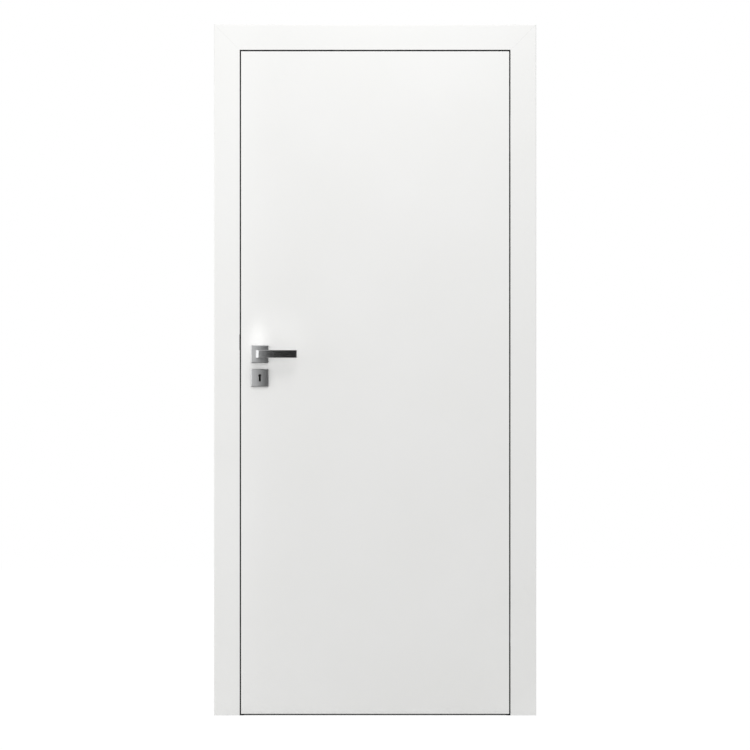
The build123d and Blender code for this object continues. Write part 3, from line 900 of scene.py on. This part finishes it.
@dataclass
class Seals:
    """The bulb seal in the frame's stop, round three sides, and the lip under the leaf."""

    rubber: Moulded = Moulded("1d1d1d", "242424", 0.62)
    bulb_mm: float = 7.0
    fin_reach: float = 5.9
    fin_thick: float = 0.9
    stop_y: float = -26.0
    across_points: int = 40
    lip_drop: float = 4.0
    lip_thick: float = 5.0
    lip_margin: float = 3.0
    lip_points: int = 24

    def build(self) -> None:
        """Makes both seals from one rubber."""
        material = self.rubber.make("moulded_seal_rubber")
        for seal, body in ((self.bulb(), Body.FRAME), (self.lip(), Body.LEAF)):
            dress(seal, material)
            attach(seal, body.value)
            LOG.info("built %s", seal.name)

    def bulb(self) -> Object:
        """Carries the bulb's profile round the doorway, mitred at the two corners.

        The profile is half an ellipse, u = w/2 cos(a) across and v = -d sin(a) towards the
        leaf, with a flat back and a thin fin that lies on the stop as far as the rebate. The
        path has four stations, foot, corner, corner, foot, and the profile's u widens it: a
        point lies at x = side (r + u), and at z = h + u in a corner and 0 at a foot.

        Returns:
            The seal.
        """
        side_low, side_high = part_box("seal_hinge_side")
        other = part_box("seal_lock_side")
        half, back, fin = self.bulb_mm / 2 * MM, self.stop_y * MM, self.fin_thick * MM
        middle_x = (side_low.x + other[1].x) / 2
        reach = (side_low.x + side_high.x) / 2 - middle_x
        top = side_high.z - half
        angle = np.linspace(np.pi, 0, self.across_points)
        u = half * np.cos(angle)
        v = back + (side_low.y - back) * np.sin(angle)
        on_fin = (u > 0) & (v > back - fin)
        u, v = np.where(on_fin, half, u), np.where(on_fin, back - fin, v)
        u = np.append(u, [self.fin_reach * MM, self.fin_reach * MM])
        v = np.append(v, [back - fin, back])
        stations = ((1.0, 0.0), (1.0, 1.0), (-1.0, 1.0), (-1.0, 0.0))
        rings = np.stack(
            [
                np.stack([middle_x + side * (reach + u), v, corner * (top + u)], axis=-1)
                for side, corner in stations
            ]
        )
        strip = shell("bulb_seal", [(rings, False)], crease=50.0)
        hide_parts("seal_hinge_side", "seal_lock_side", "seal_head")
        return strip

    def lip(self) -> Object:
        """Hangs a soft dark lip under the leaf, which keeps the light out of the gap at the floor. Its
        dark rubber also stands in for the shade in that gap, so it is partly painted shade.

        Its profile is a long half ellipse, y = t/2 cos(a), z = -d sin(a), carried along X.

        Returns:
            The lip.
        """
        low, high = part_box("front_skin")
        depth = (low.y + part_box("back_skin")[1].y) / 2
        angle = np.linspace(0, np.pi, self.lip_points)
        y = depth + self.lip_thick / 2 * MM * np.cos(angle)
        z = low.z - self.lip_drop * MM * np.sin(angle)
        margin = self.lip_margin * MM
        rings = np.stack(
            [np.stack([np.full_like(y, x), y, z], axis=-1) for x in (low.x + margin, high.x - margin)]
        )
        return shell("bottom_lip", [(rings, False)], crease=50.0)


@dataclass
class Screws:
    """Countersunk cross-head screws, made once for each plate."""

    head_radius: float = 3.4
    head_dome: float = 0.12
    head_proud: float = 0.05
    head_under: float = 0.4
    recess_arm: float = 1.9
    recess_half: float = 0.42
    recess_depth: float = 1.5
    wall_slope: float = 0.12
    end_slope: float = 0.25
    hub_radius: float = 0.06
    points: int = 64
    rings: int = 26
    steel: ZincPlate = ZincPlate("c3c6c9", "9fa3a7", 0.3)

    def head(self) -> np.ndarray:
        """The rings of one head, in millimetres, standing out towards -y.

        The face is a polar grid. Its height is a shallow dome less a cross: the cross is
        clip((w - min(|x|, |z|)) / slope + 0.5) inside the arm's length.

        Returns:
            Rings x points x 3.
        """
        angles = np.linspace(0, 2 * np.pi, self.points, endpoint=False)
        radii = np.linspace(self.head_radius, self.hub_radius, self.rings)
        grid = np.stack([ring(angles, radius, 0.0) for radius in radii])
        x, z = grid[..., 0], grid[..., 2]
        near = np.minimum(np.abs(x), np.abs(z))
        arms = np.clip((self.recess_half - near) / self.wall_slope + 0.5, 0, 1)
        inside = np.clip((self.recess_arm - np.hypot(x, z)) / self.end_slope, 0, 1)
        dome = self.head_dome * (1 - (radii[:, None] / self.head_radius) ** 2)
        grid[..., 1] = self.recess_depth * arms * inside - dome - self.head_proud
        under = ring(angles, self.head_radius, self.head_under)[None]
        return np.concatenate([under, grid])

    def set_in(self, node: str, way: float, inset: float, body: Body) -> None:
        """Puts one screw near each end of an upright plate, both as one piece.

        Args:
            node: The plate's node.
            way: The sign of the way along X that the plate faces.
            inset: How far each screw's middle is from the plate's end.
            body: What the screws ride on.
        """
        name = f"{node}_screws"
        low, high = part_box(node)
        face, depth = low.x if way < 0 else high.x, (low.y + high.y) / 2
        parts = []
        for height in (low.z + inset * MM, high.z - inset * MM):
            spot = Datum(Vector((face, depth, height)), across=(0.0, way, 0.0), outward=(way, 0.0, 0.0))
            parts.append((spot.place(self.head()), False))
        piece = shell(name, parts, crease=35.0)
        dress(piece, self.steel.make(f"zinc_plate_{name}"))
        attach(piece, body.value)
        LOG.info("built %s", name)


@dataclass
class HiddenHinges:
    """The two hidden hinges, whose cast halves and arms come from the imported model."""

    steel: ZincPlate = ZincPlate()
    screw_inset: float = 4.9

    def dress(self, nodes: dict[str, Object], screws: Screws) -> None:
        """Plates the hinges and sets two screws in each half.

        Args:
            nodes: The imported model's nodes by name.
            screws: What the screws look like.
        """
        plate = self.steel.make("zinc_plate_hinges")
        for place in ("lower", "upper"):
            for half in ("frame_cup", "leaf_cup", "outer_arms", "middle_arm"):
                dress(nodes[f"{place}_{half}"], plate)
            for half, body, way in (("frame_cup", Body.FRAME, -1.0), ("leaf_cup", Body.LEAF, 1.0)):
                screws.set_in(f"{place}_{half}", way, self.screw_inset, body)
            LOG.info("plated the %s hinge", place)


@dataclass
class Lock:
    """The mortise lock in the leaf's edge and its strike in the jamb."""

    steel: ZincPlate = ZincPlate("bcbfc1", "a3a6a9", 0.34)
    nylon: Moulded = Moulded("171717", "1e1e1e", 0.42)
    faceplate_inset: float = 9.0
    strike_inset: float = 7.0
    lever_half: tuple[float, float] = (6.5, 13.0)
    lever_thick: float = 1.5
    lever_pitch: float = 1.9
    lever_count: int = 5
    lever_points: int = 48
    lip_width: float = 1.45
    lip_wall: float = 0.35
    lip_height: float = 47.8
    lip_sink: float = 0.05

    def dress(self, nodes: dict[str, Object], screws: Screws) -> None:
        """Gives the lock its finishes, and adds its screws and the levers behind the keyhole.

        Args:
            nodes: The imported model's nodes by name.
            screws: What the screws look like.
        """
        plate, black = self.steel.make("zinc_plate_lock"), self.nylon.make("moulded_black_nylon")
        for name in ("lock_case", "lock_faceplate", "dead_bolt", "strike_plate", "spindle"):
            dress(nodes[name], plate)
        for name in ("latch_bolt", "strike_box"):
            dress(nodes[name], black)
        screws.set_in("lock_faceplate", -1.0, self.faceplate_inset, Body.LEAF)
        screws.set_in("strike_plate", 1.0, self.strike_inset, Body.FRAME)
        self.make_levers(black)
        self.make_lip(black)
        LOG.info("dressed the lock")

    def make_levers(self, black: Material) -> None:
        """Stacks the flat levers that a key would lift, across the keyhole inside the lock.

        Each lever is an oval plate: x = a cos(t), z = b sin(t), between two depths.

        Args:
            black: The black finish put on the greased steel: partly the grease's own dark, and partly
                painted shade for the dark inside of the lock.
        """
        plate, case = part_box("front_key_plate"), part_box("lock_case")
        middle = (plate[0] + plate[1]) / 2
        middle_plane = Datum(Vector((middle.x, (case[0].y + case[1].y) / 2, middle.z)))
        angles = np.linspace(0, 2 * np.pi, self.lever_points, endpoint=False)
        across, up = self.lever_half[0] * np.cos(angles), self.lever_half[1] * np.sin(angles)
        oval = np.stack([across, np.zeros_like(angles), up], axis=-1)
        parts = []
        for number in range(self.lever_count):
            start = (number - (self.lever_count - 1) / 2) * self.lever_pitch - self.lever_thick / 2
            rings = np.stack([oval + (0.0, depth, 0.0) for depth in (start, start + self.lever_thick)])
            parts.append((middle_plane.place(rings), False))
        levers = shell("lock_levers", parts)
        # The black on the steel levers is partly painted shade.
        dress(levers, black)
        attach(levers, Body.LEAF.value)

    def make_lip(self, black: Material) -> None:
        """Lines the notch in the casing with a thin black moulded lip that guides the latch. Its black
        also stands in for the shade in the notch, so it is partly painted shade.

        Its plan is an L of constant thickness, carried straight up over the notch's height.

        Args:
            black: The moulded finish.
        """
        casing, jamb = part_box("front_casing_lock_side"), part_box("lock_jamb")
        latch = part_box("latch_bolt")
        depth = (jamb[0].y - casing[0].y) / MM
        middle = Vector((casing[1].x, casing[0].y, (latch[0].z + latch[1].z) / 2))
        out, wall, sink = self.lip_width, self.lip_wall, self.lip_sink
        plan = np.array(
            [
                (-out, sink),
                (wall - out, sink),
                (wall - out, depth - wall),
                (0.0, depth - wall),
                (0.0, depth),
                (-out, depth),
            ]
        )
        rings = carried_up([(height, plan) for height in (-self.lip_height / 2, self.lip_height / 2)])
        lip = shell("strike_lip", [(Datum(middle).place(rings), False)])
        dress(lip, black)
        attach(lip, Body.FRAME.value)


@dataclass
class HandleSet:
    """One face's lever, rose and key plate, in brushed nickel."""

    side: Side
    nickel: BrushedNickel = BrushedNickel()
    plate_nickel: BrushedNickel = BrushedNickel("dadbdb", "b5b6b7", 0.36)
    plate_side: float = 53.5
    plate_thick: float = 8.0
    plate_corner: float = 1.8
    plate_bevel: float = 1.7
    plate_crown: float = 0.65
    plate_points: int = 224
    face_corner: float = 1.0
    face_rings: int = 9
    hole_clear: float = 0.1
    hole_bevel: float = 0.35
    collar_radius: float = 9.0
    collar_lap: float = 0.2
    collar_clear: float = 0.3
    collar_points: int = 64
    eye_radius: float = 4.3
    foot_radius: float = 3.9
    slot_width: float = 6.0
    keyhole_height: float = 22.0
    lever_left: float = -11.4
    lever_reach: float = 113.0
    lever_out: float = 56.0
    bar_thick: float = 10.0
    neck_right: float = 10.0
    corner_cut: float = 7.4
    tip_cut: float = 2.0
    height: float = 23.4
    face_height: float = 21.8
    rise: float = 0.5
    gap: float = 0.5
    broken_edge: float = 0.35

    def build(self) -> None:
        """Makes the three pieces and their finishes."""
        word = self.side.name.lower()
        upright = self.plate_nickel.make(f"brushed_nickel_{word}_plates", Grain.UPRIGHT)
        along = self.nickel.make(f"brushed_nickel_{word}_lever", Grain.ALONG_BAR)
        rose, key_plate = f"{word}_rose", f"{word}_key_plate"
        angles = corner_angles(self.plate_points)
        hole = np.full_like(angles, self.collar_radius + self.hole_clear)
        self.plate(f"{rose}_crowned", rose, hole, angles, upright)
        eye, foot = self.eye_radius, self.foot_radius
        key = keyhole_reach(angles, eye, foot, self.slot_width, self.keyhole_height)
        self.plate(f"{key_plate}_crowned", key_plate, key, angles, upright)
        self.lever(f"{word}_lever_bevelled", f"{word}_lever", rose, along)

    def middle(self, node: str) -> Datum:
        """The middle of a plate where it lies on the leaf, facing out of this side."""
        low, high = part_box(node)
        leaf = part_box(f"{self.side.name.lower()}_skin")
        face = leaf[0].y if self.side is Side.FRONT else leaf[1].y
        origin = Vector(((low.x + high.x) / 2, face, (low.z + high.z) / 2))
        return Datum(origin, outward=(0.0, float(self.side.value), 0.0))

    def plate(
        self, name: str, node: str, hole: np.ndarray, angles: np.ndarray, material: Material
    ) -> None:
        """A square plate with a slight crown, a bevel round its face and a hole.

        The face's depth is y = -t + c ((x/a)^2 + (z/a)^2 / 4): it falls back by c at the
        sides. Its rings go from the outline to the hole in even steps, outline * (1 - s) +
        hole * s.

        Args:
            name: The piece's name.
            node: The node that it replaces.
            hole: The hole's reach at each angle.
            angles: The angles of the ring's points.
            material: Its finish.
        """
        half = self.plate_side / 2
        outline = rounded_square(angles, half, self.plate_corner)
        face_outline = rounded_square(angles, half - self.plate_bevel, self.face_corner)
        face_hole = hole + self.hole_bevel

        def face(reach: np.ndarray, sink: float) -> np.ndarray:
            """A ring on the crowned face, sunk by some millimetres."""
            x, z = reach * np.cos(angles), reach * np.sin(angles)
            crown = self.plate_crown * ((x / half) ** 2 + (z / half) ** 2 / 4)
            return ring(angles, reach, -self.plate_thick + crown + sink)

        steps = np.linspace(0, 1, self.face_rings)
        rings = [ring(angles, outline, 0.0), face(outline, self.plate_bevel)]
        rings += [face(face_outline * (1 - s) + face_hole * s, 0.0) for s in steps]
        rings += [face(hole, self.hole_bevel), ring(angles, hole, 0.0)]
        piece = shell(name, [(self.middle(node).place(np.stack(rings)), True)], crease=28.0)
        dress(piece, material)
        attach(piece, Body.LEAF.value)
        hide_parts(node)
        LOG.info("built %s", name)

    def lever(self, name: str, node: str, rose: str, material: Material) -> None:
        """A flat bar on a square neck, its outer corner cut off, with a collar in the rose.

        The plan outline is carried up through four heights. At the lowest and the highest, the
        points of its front are drawn back by the chamfer, and the corner's point slides along
        the cut, so that the chamfer stays flat.

        Args:
            name: The piece's name.
            node: The node that it replaces.
            rose: The rose that it turns in, which gives its place.
            material: Its finish.
        """
        front, back = -self.lever_out, -self.plate_thick - self.gap
        left, cut = self.lever_left, self.corner_cut
        trim, tip = (self.height - self.face_height) / 2, self.tip_cut
        plan = np.array(
            [
                (left, back),
                (left, front + cut),
                (left + cut, front),
                (self.lever_reach - tip, front),
                (self.lever_reach, front + tip),
                (self.lever_reach, front + self.bar_thick),
                (self.neck_right, front + self.bar_thick),
                (self.neck_right, back),
            ]
        )
        drawn = plan.copy()
        drawn[2] += (-trim, trim)
        drawn[3] += (0.0, trim)
        outer, inner = self.height / 2, self.face_height / 2
        levels = ((-outer, drawn), (-inner, plan), (inner, plan), (outer, drawn))
        bar = carried_up([(height + self.rise, outline) for height, outline in levels])
        angles = np.linspace(0, 2 * np.pi, self.collar_points, endpoint=False)
        depths = (back - self.collar_lap, -self.collar_clear)
        collar = np.stack([ring(angles, self.collar_radius, depth) for depth in depths])
        axis = self.middle(rose)
        piece = shell(name, [(axis.place(bar), False), (axis.place(collar), False)])
        bevelled(piece, self.broken_edge)
        dress(piece, material)
        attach(piece, Body.HANDLE.value)
        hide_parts(node)
        LOG.info("built %s", name)


def main() -> None:
    """Builds the studio, then dresses each sub-assembly of the door."""
    logging.basicConfig(level=logging.INFO, format="%(name)s: %(message)s")
    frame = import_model()
    scene = bpy.context.scene
    scene.view_settings.view_transform = "Standard"
    Studio().build()
    nodes = frame["nodes"]
    Woodwork().dress(nodes)
    Seals().build()
    screws = Screws()
    HiddenHinges().dress(nodes, screws)
    Lock().dress(nodes, screws)
    for side in Side:
        HandleSet(side).build()


if __name__ == "__main__":
    main()
